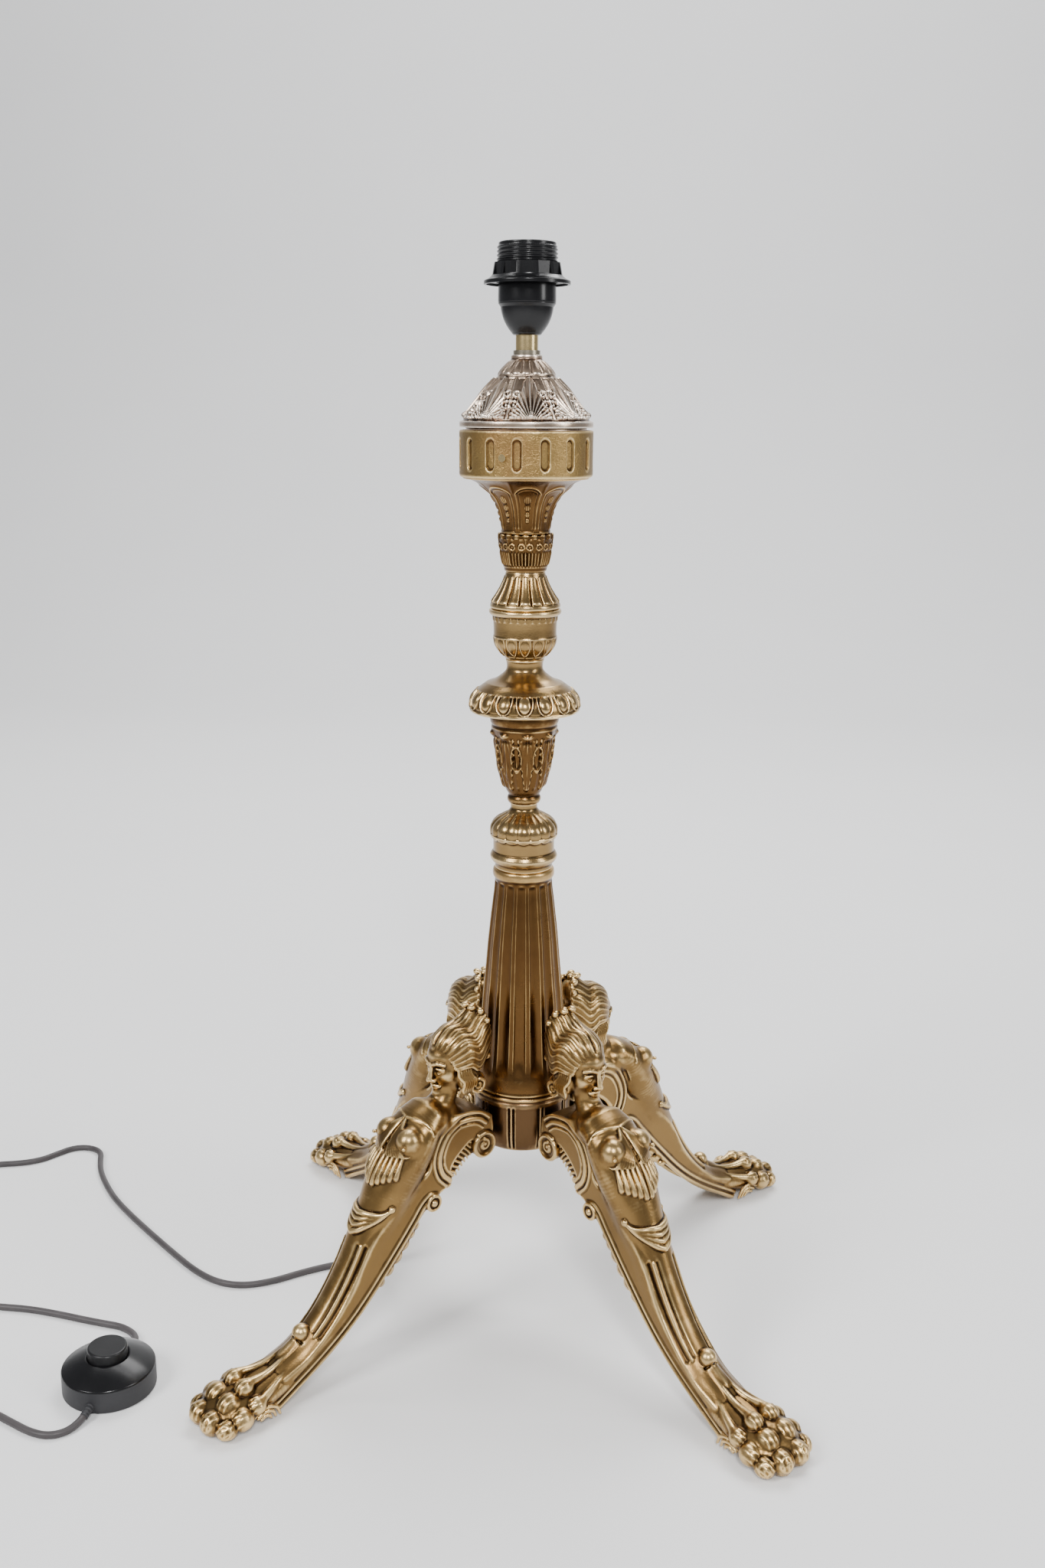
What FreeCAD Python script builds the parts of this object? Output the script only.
import FreeCAD, Part
import math
import os

import Sketcher
from FreeCAD import Placement, Rotation, Vector

# Candlestick floor lamp: a stack of hollow turned castings on a threaded tie tube, four winged
# leg castings bolted round a base drum, a screwed lampholder on top and a foot switch on the lead.
# Millimetres, +Z up, floor at Z = 0, lamp axis on Z, legs at 45 degrees to X and Y.

doc = FreeCAD.newDocument("candlestick_lamp")
sheet = doc.addObject("Spreadsheet::Sheet", "Sizes")

# ---------------------------------------------------------------- driving sizes

SIZES = {
    # tie tube, its nuts and the general clearances
    "tie_radius": 5.0,
    "tie_bore_radius": 4.0,
    "tie_clearance": 0.3,
    "seat_gap": 0.15,
    "hex_width": 17.0,
    "nut_height": 6.0,
    "washer_radius": 12.0,
    "washer_thick": 1.5,
    "wall": 3.0,
    # base drum
    "drum_bottom": 131.0,
    "drum_height": 41.0,
    "drum_radius": 36.0,
    "drum_foot_radius": 30.0,
    "drum_wall": 5.0,
    "drum_floor_thick": 7.0,
    "panel_groove_width": 4.0,
    "panel_groove_depth": 1.6,
    # fluted column
    "column_height": 169.0,
    "column_ring_radius": 37.5,
    "column_bell_radius": 36.0,
    "column_waist_radius": 32.4,
    "column_top_radius": 20.8,
    "column_cap_radius": 22.1,
    "flute_top_radius": 3.9,
    "flute_foot_radius": 7.0,
    "flute_depth": 1.3,
    # cushion collar
    "collar_height": 48.0,
    "collar_radius": 22.0,
    "torus_radius": 24.2,
    "cushion_radius": 24.4,
    "neck_radius": 9.5,
    # leaf vase
    "vase_height": 66.5,
    "vase_top_radius": 24.4,
    "vase_ring_radius": 11.9,
    # drip disc and spool
    "disc_height": 37.0,
    "disc_radius": 39.0,
    "spool_radius": 12.6,
    # knop
    "knop_height": 35.0,
    "knop_radius": 22.1,
    "knop_rim_radius": 25.1,
    # bell
    "bell_height": 25.4,
    "bell_radius": 24.5,
    "bell_top_radius": 13.4,
    # leaf collar
    "leaf_height": 26.0,
    "leaf_top_radius": 19.1,
    "leaf_foot_radius": 15.1,
    # flared capital
    "capital_height": 37.6,
    "capital_radius": 43.3,
    "capital_foot_radius": 16.9,
    # slotted cup
    "cup_height": 30.9,
    "cup_radius": 45.2,
    "cup_wall": 4.0,
    "cup_floor_thick": 4.0,
    "slot_width": 6.2,
    "slot_length": 20.5,
    "slot_depth": 1.8,
    "cup_screw_radius": 1.5,
    # dome cap
    "dome_gap": 1.8,
    "dome_height": 47.0,
    "dome_rim_inset": 0.1,
    "dome_rim_thick": 4.0,
    "dome_rim_width": 3.5,
    "dome_step_radius": 19.8,
    "dome_wall": 3.0,
    "neck_ring_radius": 10.3,
    "lock_ring_radius": 9.0,
    "lock_ring_height": 2.8,
    "tube_radius": 7.5,
    "tube_height": 9.8,
    # lampholder
    "holder_radius": 19.1,
    "holder_foot_radius": 8.8,
    "holder_cap_height": 20.2,
    "thread_radius": 20.0,
    "sleeve_height": 38.3,
    "plastic_wall": 1.8,
    "shade_ring_radius": 28.7,
    "shade_ring_height": 12.4,
    "shade_ring_gap": 0.35,
    "facet_width": 9.6,
    "bulb_bore_radius": 13.4,
    "bulb_bore_length": 20.0,
    # leg casting
    "leg_half_width": 15.0,
    "toe_reach": 283.0,
    "sole_half_width": 23.0,
    "sole_thick": 3.5,
    "head_radius": 14.5,
    "wing_half_span": 27.0,
    "volute_radius": 10.0,
    "small_volute_radius": 6.0,
    "knob_radius": 6.2,
    "bolt_radius": 2.5,
    "bolt_length": 16.0,
    # lead, foot switch and plug
    "cord_radius": 2.5,
    "bush_radius": 5.0,
    "switch_radius": 32.0,
    "switch_base_height": 15.5,
    "switch_cone_height": 9.0,
    "button_radius": 13.7,
    "button_rise": 7.0,
    "button_gap": 0.3,
    "coil_pitch": 6.4,
    "coil_inner_radius": 19.5,
    "coil_layer_rise": 5.7,
    "plug_length": 36.0,
    "plug_half_width": 17.2,
    "plug_thick": 13.7,
    "pin_radius": 2.0,
    "pin_length": 19.0,
    "pin_spacing": 18.6,
}

PANEL_COUNT = 10
FLUTE_COUNT = 16
SLOT_COUNT = 15
FACET_COUNT = 12
PANEL_AZIMUTH = -79.7
SLOT_AZIMUTH = -92.6
CUP_SCREW_AZIMUTH = -104.6
BUSH_AZIMUTH = 180.0
SHADE_RING_AZIMUTH = -84.7
ROUND_END = 0.999  # bulge of a half circle, kept just short of it
LEG_AZIMUTHS = (("leg_front_left", 225.0), ("leg_front_right", 315.0),
                ("leg_rear_right", 45.0), ("leg_rear_left", 135.0))

for row, (alias, number) in enumerate(SIZES.items(), start=1):
    sheet.set("A%d" % row, alias)
    sheet.set("B%d" % row, str(number))
    sheet.setAlias("B%d" % row, alias)
doc.recompute()


class Size:
    """A length that carries its value and the sheet expression that gives it."""

    def __init__(self, value, text):
        self.value = float(value)
        self.text = text

    def __add__(self, other):
        other = size_of(other)
        return Size(self.value + other.value, "(%s + %s)" % (self.text, other.text))

    def __sub__(self, other):
        other = size_of(other)
        return Size(self.value - other.value, "(%s - %s)" % (self.text, other.text))

    def __mul__(self, other):
        other = size_of(other)
        return Size(self.value * other.value, "(%s * %s)" % (self.text, other.text))

    def __truediv__(self, other):
        other = size_of(other)
        return Size(self.value / other.value, "(%s / %s)" % (self.text, other.text))

    __radd__ = __add__
    __rmul__ = __mul__


def size_of(number):
    if isinstance(number, Size):
        return number
    return Size(number, "%.6f" % number if number >= 0 else "(%.6f)" % number)


def cell(alias):
    return Size(SIZES[alias], "Sizes.%s" % alias)


def chord_of(start, end):
    dr = end[0] - start[0]
    dz = end[1] - start[1]
    text = "sqrt(%s * %s + %s * %s)" % (dr.text, dr.text, dz.text, dz.text)
    return Size(math.hypot(dr.value, dz.value), text)


# ---------------------------------------------------------------- sketch and body helpers


def origin_plane(body, role):
    for feature in body.Origin.OriginFeatures:
        if feature.Role == role:
            return feature
    raise RuntimeError("no plane %s" % role)


def new_body(name):
    body = doc.addObject("PartDesign::Body", name)
    body.Label = name
    return body


def new_sketch(body, name, role, offset=None):
    sketch = body.newObject("Sketcher::SketchObject", name)
    sketch.AttachmentSupport = [(origin_plane(body, role), "")]
    sketch.MapMode = "FlatFace"
    if offset is not None:
        sketch.AttachmentOffset = Placement(Vector(0, 0, offset.value), Rotation())
        sketch.setExpression("AttachmentOffset.Base.z", offset.text)
    return sketch


def outside_sketch(body, name, reach, azimuth):
    """Upright sketch plane at a distance from the axis, facing outward at an azimuth."""
    sketch = body.newObject("Sketcher::SketchObject", name)
    sketch.AttachmentSupport = [(origin_plane(body, "YZ_Plane"), "")]
    sketch.MapMode = "FlatFace"
    east = reach * math.sin(math.radians(azimuth))
    north = reach * math.cos(math.radians(azimuth))
    sketch.AttachmentOffset = Placement(Vector(east.value, 0, north.value),
                                        Rotation(Vector(0, 1, 0), azimuth))
    sketch.setExpression("AttachmentOffset.Base.x", east.text)
    sketch.setExpression("AttachmentOffset.Base.z", north.text)
    return sketch


def arc_centre(x1, y1, x2, y2, bulge):
    """Centre of the arc from 1 to 2 whose bulge is the tangent of a quarter of its sweep."""
    mx, my = (x1 + x2) / 2.0, (y1 + y2) / 2.0
    rise = (1.0 - bulge * bulge) / (4.0 * bulge)
    return mx - (y2 - y1) * rise, my + (x2 - x1) * rise


def pin_vertex(sketch, geo, end, x, y, tag):
    for axis, coordinate, line, kind in (("x", x, -2, "DistanceX"), ("y", y, -1, "DistanceY")):
        if abs(coordinate.value) < 1e-9:
            sketch.addConstraint(Sketcher.Constraint("PointOnObject", geo, end, line))
            continue
        index = sketch.addConstraint(
            Sketcher.Constraint(kind, -1, 1, geo, end, coordinate.value))
        sketch.renameConstraint(index, "%s_%s" % (tag, axis))
        sketch.setExpression("Constraints.%s_%s" % (tag, axis), coordinate.text)


def closed_outline(sketch, corners, tag="v"):
    """Closed outline of corners (x, y) or (x, y, bulge), the bulge of the edge that ends there."""
    points = [(size_of(c[0]), size_of(c[1])) for c in corners]
    bulges = [c[2] if len(c) > 2 else 0.0 for c in corners]
    ends = []
    for number, (end, bulge) in enumerate(zip(points, bulges)):
        start = points[number - 1]
        x1, y1, x2, y2 = start[0].value, start[1].value, end[0].value, end[1].value
        if bulge:
            cx, cy = arc_centre(x1, y1, x2, y2, bulge)
            radius = math.hypot(x1 - cx, y1 - cy)
            a1 = math.atan2(y1 - cy, x1 - cx)
            a2 = math.atan2(y2 - cy, x2 - cx)
            if bulge > 0:
                begin, stop, start_pos, end_pos = a1, a2, 1, 2
            else:
                begin, stop, start_pos, end_pos = a2, a1, 2, 1
            while stop < begin:
                stop += 2.0 * math.pi
            circle = Part.Circle(Vector(cx, cy, 0), Vector(0, 0, 1), radius)
            geo = sketch.addGeometry(Part.ArcOfCircle(circle, begin, stop), False)
            factor = (1.0 + bulge * bulge) / (4.0 * abs(bulge))
            bow = chord_of(start, end) * factor
            index = sketch.addConstraint(Sketcher.Constraint("Radius", geo, bow.value))
            name = "%s%d_bow" % (tag, number)
            sketch.renameConstraint(index, name)
            sketch.setExpression("Constraints.%s" % name, bow.text)
        else:
            geo = sketch.addGeometry(Part.LineSegment(Vector(x1, y1, 0), Vector(x2, y2, 0)), False)
            start_pos, end_pos = 1, 2
        ends.append((geo, start_pos, end_pos))
    for number, (geo, start_pos, end_pos) in enumerate(ends):
        before = ends[number - 1]
        sketch.addConstraint(Sketcher.Constraint("Coincident", before[0], before[2],
                                                 geo, start_pos))
    for number, (geo, start_pos, end_pos) in enumerate(ends):
        x, y = points[number]
        pin_vertex(sketch, geo, end_pos, x, y, "%s%d" % (tag, number))


def circle_at(sketch, x, y, radius, tag):
    x, y, radius = size_of(x), size_of(y), size_of(radius)
    geo = sketch.addGeometry(Part.Circle(Vector(x.value, y.value, 0), Vector(0, 0, 1),
                                         radius.value), False)
    pin_vertex(sketch, geo, 3, x, y, tag)
    index = sketch.addConstraint(Sketcher.Constraint("Radius", geo, radius.value))
    sketch.renameConstraint(index, "%s_r" % tag)
    sketch.setExpression("Constraints.%s_r" % tag, radius.text)


def turn_about_z(body, corners, name="Turned"):
    """Revolve a closed outline of (radius, height) corners about the lamp axis."""
    sketch = new_sketch(body, body.Name + "_" + name + "_outline", "XZ_Plane")
    closed_outline(sketch, corners)
    turned = body.newObject("PartDesign::Revolution", body.Name + "_" + name)
    turned.Profile = sketch
    turned.ReferenceAxis = (sketch, ["V_Axis"])
    turned.Angle = 360.0
    body.Tip = turned
    return turned


def turned_body(name, corners):
    body = new_body(name)
    turn_about_z(body, corners)
    return body


def pocket(body, sketch, depth, name):
    """Cut a sketch inward, against its normal."""
    feature = body.newObject("PartDesign::Pocket", name)
    feature.Profile = sketch
    feature.Length = depth.value
    feature.setExpression("Length", depth.text)
    body.Tip = feature
    doc.recompute()
    return feature


def repeat_round_z(body, feature, copies):
    pattern = body.newObject("PartDesign::PolarPattern", feature.Name + "_pattern")
    pattern.Originals = [feature]
    pattern.Axis = (origin_plane(body, "Z_Axis"), [""])
    pattern.Angle = 360.0
    pattern.Occurrences = copies
    body.Tip = pattern
    doc.recompute()


PARTS = []


def keep(item, name=None):
    if name:
        item.Label = name
    PARTS.append(item)
    return item


# ---------------------------------------------------------------- levels of the stack

tie_hole = cell("tie_radius") + cell("tie_clearance")
drum_base = cell("drum_bottom")
drum_top = drum_base + cell("drum_height")
column_top = drum_top + cell("column_height")
collar_top = column_top + cell("collar_height")
vase_top = collar_top + cell("vase_height")
disc_top = vase_top + cell("disc_height")
knop_top = disc_top + cell("knop_height")
bell_base = knop_top + cell("seat_gap")
bell_top = bell_base + cell("bell_height")
leaf_top = bell_top + cell("leaf_height")
capital_top = leaf_top + cell("capital_height")
cup_top = capital_top + cell("cup_height")
dome_base = cup_top + cell("dome_gap")
dome_top = dome_base + cell("dome_height")
dome_nut_top = dome_top - 6.0
lock_top = dome_top + cell("lock_ring_height")
tube_top = lock_top + cell("tube_height")
holder_seam = tube_top + cell("holder_cap_height")
holder_top = holder_seam + cell("sleeve_height")


# ---------------------------------------------------------------- turned castings of the stem


def base_drum():
    """Cup-shaped hub: open below, closed on top, with the leg bolts and cord bush in its wall."""
    body = new_body("base_drum")
    radius = cell("drum_radius")
    inner = radius - cell("drum_wall")
    floor = drum_top - cell("drum_floor_thick")
    foot = cell("drum_foot_radius")
    turn_about_z(body, [
        (foot - 4.0, drum_base),
        (foot, drum_base),
        (radius, drum_base + 12.0, 0.25),
        (radius, drum_top - 1.5),
        (radius - 1.5, drum_top, 0.41),
        (tie_hole, drum_top),
        (tie_hole, floor),
        (inner, floor),
        (inner, drum_base + 12.0),
    ])
    doc.recompute()
    outside = radius + 1.0
    groove = outside_sketch(body, "panel_groove_outline", outside, PANEL_AZIMUTH)
    half = cell("panel_groove_width") / 2.0
    closed_outline(groove, [
        (half * -1.0, drum_top - 3.0),
        (half * -1.0, drum_base + 10.0),
        (half, drum_base + 10.0),
        (half, drum_top - 3.0),
    ])
    grooves = pocket(body, groove, cell("panel_groove_depth") + 1.0, "panel_groove")
    repeat_round_z(body, grooves, PANEL_COUNT)
    bolt_circle = outside_sketch(body, "leg_bolt_outline", outside, LEG_AZIMUTHS[2][1])
    circle_at(bolt_circle, 0.0, bolt_level, cell("bolt_radius") + 0.2, "hole")
    bolt_holes = pocket(body, bolt_circle, cell("drum_wall") + 4.0, "leg_bolt_hole")
    repeat_round_z(body, bolt_holes, len(LEG_AZIMUTHS))
    bush_circle = outside_sketch(body, "bush_outline", outside, BUSH_AZIMUTH)
    circle_at(bush_circle, 0.0, bush_level, cell("bush_radius") + 0.1, "hole")
    pocket(body, bush_circle, cell("drum_wall") + 4.0, "bush_hole")
    return body


def fluted_column():
    """Tapering hollow shaft with sixteen flutes, a ring foot and a two-ring cap."""
    body = new_body("fluted_column")
    top = cell("column_top_radius")
    cap = cell("column_cap_radius")
    ring = cell("column_ring_radius")
    bell = cell("column_bell_radius")
    waist = cell("column_waist_radius")
    turn_about_z(body, [
        (waist - cell("wall") - 1.0, drum_top),
        (ring - 1.0, drum_top),
        (ring, drum_top + 2.5, 0.41),
        (ring - 1.2, drum_top + 5.0, 0.41),
        (ring - 1.2, drum_top + 6.5),
        (bell, drum_top + 8.5),
        (waist, drum_top + 26.0, -0.18),
        (top, column_top - 14.5, 0.015),
        (top, column_top - 11.5),
        (top + 1.0, column_top - 10.0, 0.5),
        (top + 0.4, column_top - 8.0),
        (cap, column_top - 6.5, 0.41),
        (cap, column_top - 1.5),
        (cap - 1.5, column_top, 0.41),
        (tie_hole, column_top),
        (tie_hole, column_top - 5.0),
        (top - cell("wall") - 0.5, column_top - 8.0),
        (top - cell("wall") - 0.5, column_top - 16.0),
        (waist - cell("wall") - 1.0, drum_top + 28.0),
    ])
    doc.recompute()
    deep = cell("flute_depth")
    foot_tool = cell("flute_foot_radius")
    top_tool = cell("flute_top_radius")
    sections = []
    for number, (level, reach, radius) in enumerate((
            (drum_top + 21.0, waist + foot_tool + 1.2, foot_tool),
            (drum_top + 30.0, waist + foot_tool - deep, foot_tool),
            (drum_top + 92.0, (waist + top) / 2.0 + (foot_tool + top_tool) / 2.0 - deep + 0.9,
             (foot_tool + top_tool) / 2.0),
            (column_top - 14.8, top + top_tool - deep, top_tool),
            (column_top - 13.4, top + top_tool + 0.3, top_tool))):
        ring = new_sketch(body, "flute_section%d" % number, "XY_Plane", offset=level)
        circle_at(ring, reach, 0.0, radius, "tool")
        sections.append(ring)
    flute = body.newObject("PartDesign::SubtractiveLoft", "flute")
    flute.Profile = sections[0]
    flute.Sections = sections[1:]
    flute.Ruled = True
    body.Tip = flute
    doc.recompute()
    repeat_round_z(body, flute, FLUTE_COUNT)
    return body


def cushion_collar():
    """Grooved foot, torus, plain band and cushion under a slim spool."""
    band = cell("collar_radius")
    torus = cell("torus_radius")
    cushion = cell("cushion_radius")
    neck = cell("neck_radius")
    return turned_body("cushion_collar", [
        (band - cell("wall") - 1.5, column_top),
        (band - 1.3, column_top),
        (band - 1.3, column_top + 4.6),
        (torus - 1.4, column_top + 5.0),
        (torus - 1.4, column_top + 12.0, 0.85),
        (band, column_top + 12.4),
        (band, column_top + 21.5),
        (cushion - 0.6, column_top + 23.0),
        (cushion, column_top + 27.5, 0.12),
        (cushion - 5.0, column_top + 36.5, 0.35),
        (cushion - 8.6, column_top + 38.8),
        (neck, column_top + 44.5, -0.3),
        (neck, collar_top),
        (tie_hole, collar_top),
        (tie_hole, column_top + 37.0),
        (band - cell("wall") - 1.5, column_top + 31.0),
    ])


def leaf_vase():
    """Tapering cup with a ring at its foot."""
    top = cell("vase_top_radius")
    ring = cell("vase_ring_radius")
    return turned_body("leaf_vase", [
        (tie_hole, collar_top),
        (cell("neck_radius"), collar_top),
        (cell("neck_radius"), collar_top + 1.0),
        (ring, collar_top + 3.0, 0.3),
        (ring, collar_top + 4.2),
        (ring - 0.8, collar_top + 5.6, 0.3),
        (ring + 2.0, collar_top + 12.2),
        (ring + 5.8, collar_top + 24.5, 0.12),
        (top - 5.2, vase_top - 29.0),
        (top - 1.2, vase_top - 11.0, 0.02),
        (top, vase_top - 6.0, -0.1),
        (top, vase_top),
        (top - cell("wall"), vase_top),
        (top - cell("wall") - 5.5, vase_top - 29.0),
        (ring + 1.6, collar_top + 24.0),
        (tie_hole, collar_top + 16.0),
    ])


def drip_disc():
    """Wide domed disc with a hollow underside and a spool above."""
    radius = cell("disc_radius")
    spool = cell("spool_radius")
    seat = cell("vase_top_radius")
    return turned_body("drip_disc", [
        (tie_hole, vase_top),
        (seat, vase_top),
        (seat + 1.5, vase_top + 4.0),
        (radius - 4.0, vase_top + 4.0),
        (radius - 2.5, vase_top + 0.8),
        (radius - 0.8, vase_top + 0.8),
        (radius, vase_top + 2.4, 0.3),
        (radius - 10.6, vase_top + 19.8, 0.3),
        (radius - 13.0, vase_top + 21.0),
        (radius - 21.0, vase_top + 25.2, -0.08),
        (spool, vase_top + 31.5, -0.2),
        (spool, disc_top - 1.0),
        (spool + 0.6, disc_top),
        (tie_hole, disc_top),
    ])


def knop():
    """Bowl-shaped knop with a projecting rim and a small foot ring."""
    body = cell("knop_radius")
    rim = cell("knop_rim_radius")
    foot = cell("spool_radius") + 0.9
    return turned_body("knop", [
        (tie_hole, disc_top),
        (foot, disc_top),
        (foot, disc_top + 1.4, 0.6),
        (foot + 0.6, disc_top + 2.2),
        (body, disc_top + 14.5, 0.3),
        (body, knop_top - 4.8),
        (rim - 0.9, knop_top - 3.2, -0.3),
        (rim, knop_top - 1.2, 0.3),
        (rim - 0.7, knop_top, 0.3),
        (body - cell("wall"), knop_top),
        (body - cell("wall"), disc_top + 14.5),
        (foot - 2.0, disc_top + 6.0),
        (tie_hole, disc_top + 5.0),
    ])


def gadroon_bell():
    """Bell between the knop and the leaf collar."""
    radius = cell("bell_radius")
    top = cell("bell_top_radius")
    return turned_body("gadroon_bell", [
        (radius - cell("wall") - 2.0, bell_base),
        (radius - 1.0, bell_base),
        (radius, bell_base + 2.2, 0.3),
        (radius - 1.2, bell_base + 4.8, 0.3),
        (top, bell_top, -0.16),
        (tie_hole, bell_top),
        (tie_hole, bell_top - 6.0),
        (top - cell("wall"), bell_top - 7.0),
        (radius - cell("wall") - 2.0, bell_base + 4.0, 0.16),
    ])


def leaf_collar():
    """Flared collar below the capital."""
    top = cell("leaf_top_radius")
    foot = cell("leaf_foot_radius")
    return turned_body("leaf_collar", [
        (tie_hole, bell_top),
        (foot, bell_top),
        (foot + 0.2, bell_top + 2.2),
        (top, leaf_top - 3.0, 0.06),
        (top, leaf_top),
        (top - cell("wall"), leaf_top),
        (top - cell("wall"), leaf_top - 3.0),
        (foot - cell("wall"), bell_top + 4.0),
        (tie_hole, bell_top + 4.0),
    ])


def capital():
    """Trumpet-shaped capital that carries the cup."""
    radius = cell("capital_radius")
    foot = cell("capital_foot_radius")
    wall = cell("wall")
    return turned_body("capital", [
        (foot - wall, leaf_top),
        (foot, leaf_top),
        (foot + 2.2, leaf_top + 13.5, -0.05),
        (foot + 11.1, capital_top - 9.4, -0.2),
        (radius - 2.0, capital_top - 1.6, -0.1),
        (radius, capital_top - 1.2),
        (radius, capital_top),
        (tie_hole, capital_top),
        (tie_hole, capital_top - 4.0),
        (foot + 11.1, capital_top - 4.0),
        (foot + 2.2 - wall, leaf_top + 15.0, 0.2),
    ])


def slotted_cup():
    """Drum-shaped cup with a ring of round-ended recesses."""
    body = new_body("slotted_cup")
    radius = cell("cup_radius")
    inner = radius - cell("cup_wall")
    turn_about_z(body, [
        (tie_hole, capital_top),
        (radius - 1.6, capital_top),
        (radius, capital_top + 1.6, 0.41),
        (radius, cup_top),
        (inner, cup_top),
        (inner, capital_top + cell("cup_floor_thick")),
        (tie_hole, capital_top + cell("cup_floor_thick")),
    ])
    doc.recompute()
    slot = outside_sketch(body, "slot_outline", radius + 1.0, SLOT_AZIMUTH)
    half = cell("slot_width") / 2.0
    low = slot_level - cell("slot_length") / 2.0 + half
    high = slot_level + cell("slot_length") / 2.0 - half
    closed_outline(slot, [
        (half * -1.0, low),
        (half, low, ROUND_END),
        (half, high),
        (half * -1.0, high, ROUND_END),
    ])
    slots = pocket(body, slot, cell("slot_depth") + 1.0, "slot")
    repeat_round_z(body, slots, SLOT_COUNT)
    screw_hole = outside_sketch(body, "cup_screw_outline", radius + 1.0, CUP_SCREW_AZIMUTH)
    circle_at(screw_hole, 0.0, slot_level - 1.0, cell("cup_screw_radius") + 0.1, "hole")
    pocket(body, screw_hole, cell("cup_wall") + 4.0, "cup_screw_hole")
    return body


def dome_cap():
    """Two-step domed cover with a flat rim, a spigot into the cup and a neck ring."""
    rim = cell("cup_radius") - cell("dome_rim_inset")
    foot = rim - cell("dome_rim_width")
    step = cell("dome_step_radius")
    neck = cell("neck_ring_radius")
    wall = cell("dome_wall")
    spigot = cell("cup_radius") - cell("cup_wall") - 0.4
    return turned_body("dome_cap", [
        (spigot - wall, dome_base - 4.0),
        (spigot, dome_base - 4.0),
        (spigot, dome_base),
        (rim, dome_base),
        (rim, dome_base + cell("dome_rim_thick")),
        (foot, dome_base + cell("dome_rim_thick") + 0.6),
        (step, dome_top - 14.8, 0.12),
        (step - 0.5, dome_top - 13.6),
        (neck + 0.8, dome_top - 3.8, 0.2),
        (neck, dome_top - 3.3),
        (neck, dome_top),
        (tie_hole, dome_top),
        (tie_hole, dome_nut_top),
        (step - wall - 6.3, dome_nut_top),
        (step - wall - 4.3, dome_top - 9.5),
        (step - wall - 0.5, dome_top - 16.5, -0.1),
        (foot - wall - 1.0, dome_base + cell("dome_rim_thick"), -0.12),
        (spigot - wall, dome_base),
    ])


# ---------------------------------------------------------------- tie tube, nuts and lock ring

floor_level = drum_top - cell("drum_floor_thick")
base_nut_top = floor_level - cell("washer_thick")
tube_end = base_nut_top - cell("nut_height") - 1.0
bolt_level = drum_base + 22.0
bush_level = tube_end - 12.0
cup_floor = capital_top + cell("cup_floor_thick")
slot_level = capital_top + 14.8
holder_inside = tube_top + 10.0


def ring_body(name, inner, outer, bottom, top):
    return turned_body(name, [(inner, bottom), (outer, bottom), (outer, top), (inner, top)])


def bind(item, **values):
    """Set properties of a primitive from sizes and bind them to the sheet."""
    for key, value in values.items():
        value = size_of(value)
        setattr(item, key, value.value)
        item.setExpression(key, value.text)


def put(item, x=0.0, y=0.0, z=0.0, rotation=None):
    x, y, z = size_of(x), size_of(y), size_of(z)
    item.Placement = Placement(Vector(x.value, y.value, z.value), rotation or Rotation())
    for axis, value in (("x", x), ("y", y), ("z", z)):
        item.setExpression("Placement.Base.%s" % axis, value.text)
    return item


def cylinder(name, radius, height, **where):
    item = doc.addObject("Part::Cylinder", name)
    bind(item, Radius=radius, Height=height)
    return put(item, **where)


def cut_from(name, base, tool):
    cut = doc.addObject("Part::Cut", name)
    cut.Base = base
    cut.Tool = tool
    return cut


def fused(name, shapes):
    fuse = doc.addObject("Part::MultiFuse", name)
    fuse.Shapes = shapes
    return fuse


def hex_nut(name, bottom):
    blank = doc.addObject("Part::Prism", name + "_blank")
    blank.Polygon = 6
    bind(blank, Circumradius=cell("hex_width") / 1.7320508, Height=cell("nut_height"))
    put(blank, z=bottom)
    bore = cylinder(name + "_bore", cell("tie_radius") + 0.1, cell("nut_height") + 2.0,
                    z=bottom - 1.0)
    return cut_from(name, blank, bore)


def tie_tube():
    """Threaded tube that draws the whole stack together and carries the flex."""
    return ring_body("tie_tube", cell("tie_bore_radius"), cell("tie_radius"), tube_end,
                     holder_inside)


# ---------------------------------------------------------------- lampholder

insert_floor = holder_seam + 7.0
shell_base = insert_floor + 8.0
shell_top = shell_base + cell("bulb_bore_length")


def holder_cap():
    """Egg-shaped lower cap, screwed on the tie tube, with a spigot into the sleeve."""
    rim = cell("holder_radius")
    foot = cell("holder_foot_radius")
    wall = cell("plastic_wall")
    spigot = rim - wall - 0.25
    return turned_body("holder_cap", [
        (tie_hole, tube_top),
        (foot, tube_top),
        (foot + 1.4, tube_top + 1.4, 0.2),
        (rim - 1.5, holder_seam - 2.4, 0.16),
        (rim, holder_seam - 0.4),
        (rim, holder_seam),
        (spigot, holder_seam),
        (spigot, holder_seam + 6.0),
        (spigot - wall, holder_seam + 6.0),
        (spigot - wall, holder_seam - 2.0),
        (foot + 0.6, tube_top + 5.0, -0.16),
        (foot + 0.6, tube_top + 10.0),
        (tie_hole, tube_top + 10.0),
    ])


def holder_sleeve():
    """Outer sleeve: plain barrel below, threaded for the shade ring above."""
    rim = cell("holder_radius")
    thread = cell("thread_radius")
    under_ring = thread - 0.45
    ring_clear = holder_seam + 13.4 + cell("shade_ring_height")
    inner = rim - cell("plastic_wall")
    return turned_body("holder_sleeve", [
        (inner, holder_seam),
        (rim, holder_seam),
        (rim, holder_seam + 13.4),
        (under_ring, holder_seam + 14.4),
        (under_ring, ring_clear),
        (thread, ring_clear),
        (thread, holder_top - 2.8),
        (thread - 1.0, holder_top - 2.3),
        (thread - 1.0, holder_top - 0.6),
        (thread - 1.6, holder_top, 0.41),
        (inner - 2.2, holder_top),
        (inner - 2.2, holder_top - 5.0),
        (inner, holder_top - 5.6),
    ])


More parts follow.
